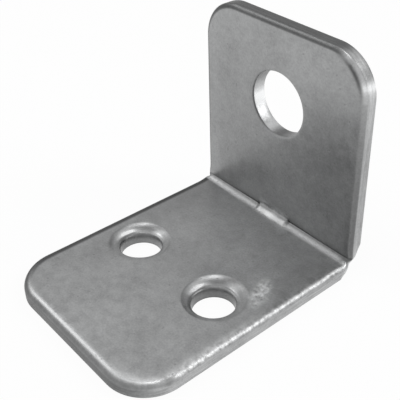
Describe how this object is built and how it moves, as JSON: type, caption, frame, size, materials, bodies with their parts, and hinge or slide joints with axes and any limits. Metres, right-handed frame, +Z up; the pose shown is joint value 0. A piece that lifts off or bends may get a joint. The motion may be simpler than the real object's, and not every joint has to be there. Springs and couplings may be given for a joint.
{
  "type": "angle bracket",
  "caption": "Right-angle bracket folded from one strip of sheet steel, with screw holes in the foot and a larger hole in the upright.",
  "frame": {"origin": "middle of the footprint, on the underside of the foot", "axes": "+Z up, +Y from the foot's free end to the back of the upright, X across the width"},
  "size_m": [0.03, 0.0384, 0.033],
  "materials": {
    "zinc_steel": "dull zinc-coated mild steel, satin, with fine mottling and handling marks"
  },
  "bodies": {
    "root": {"bracket": "zinc_steel"}
  },
  "joints": []
}
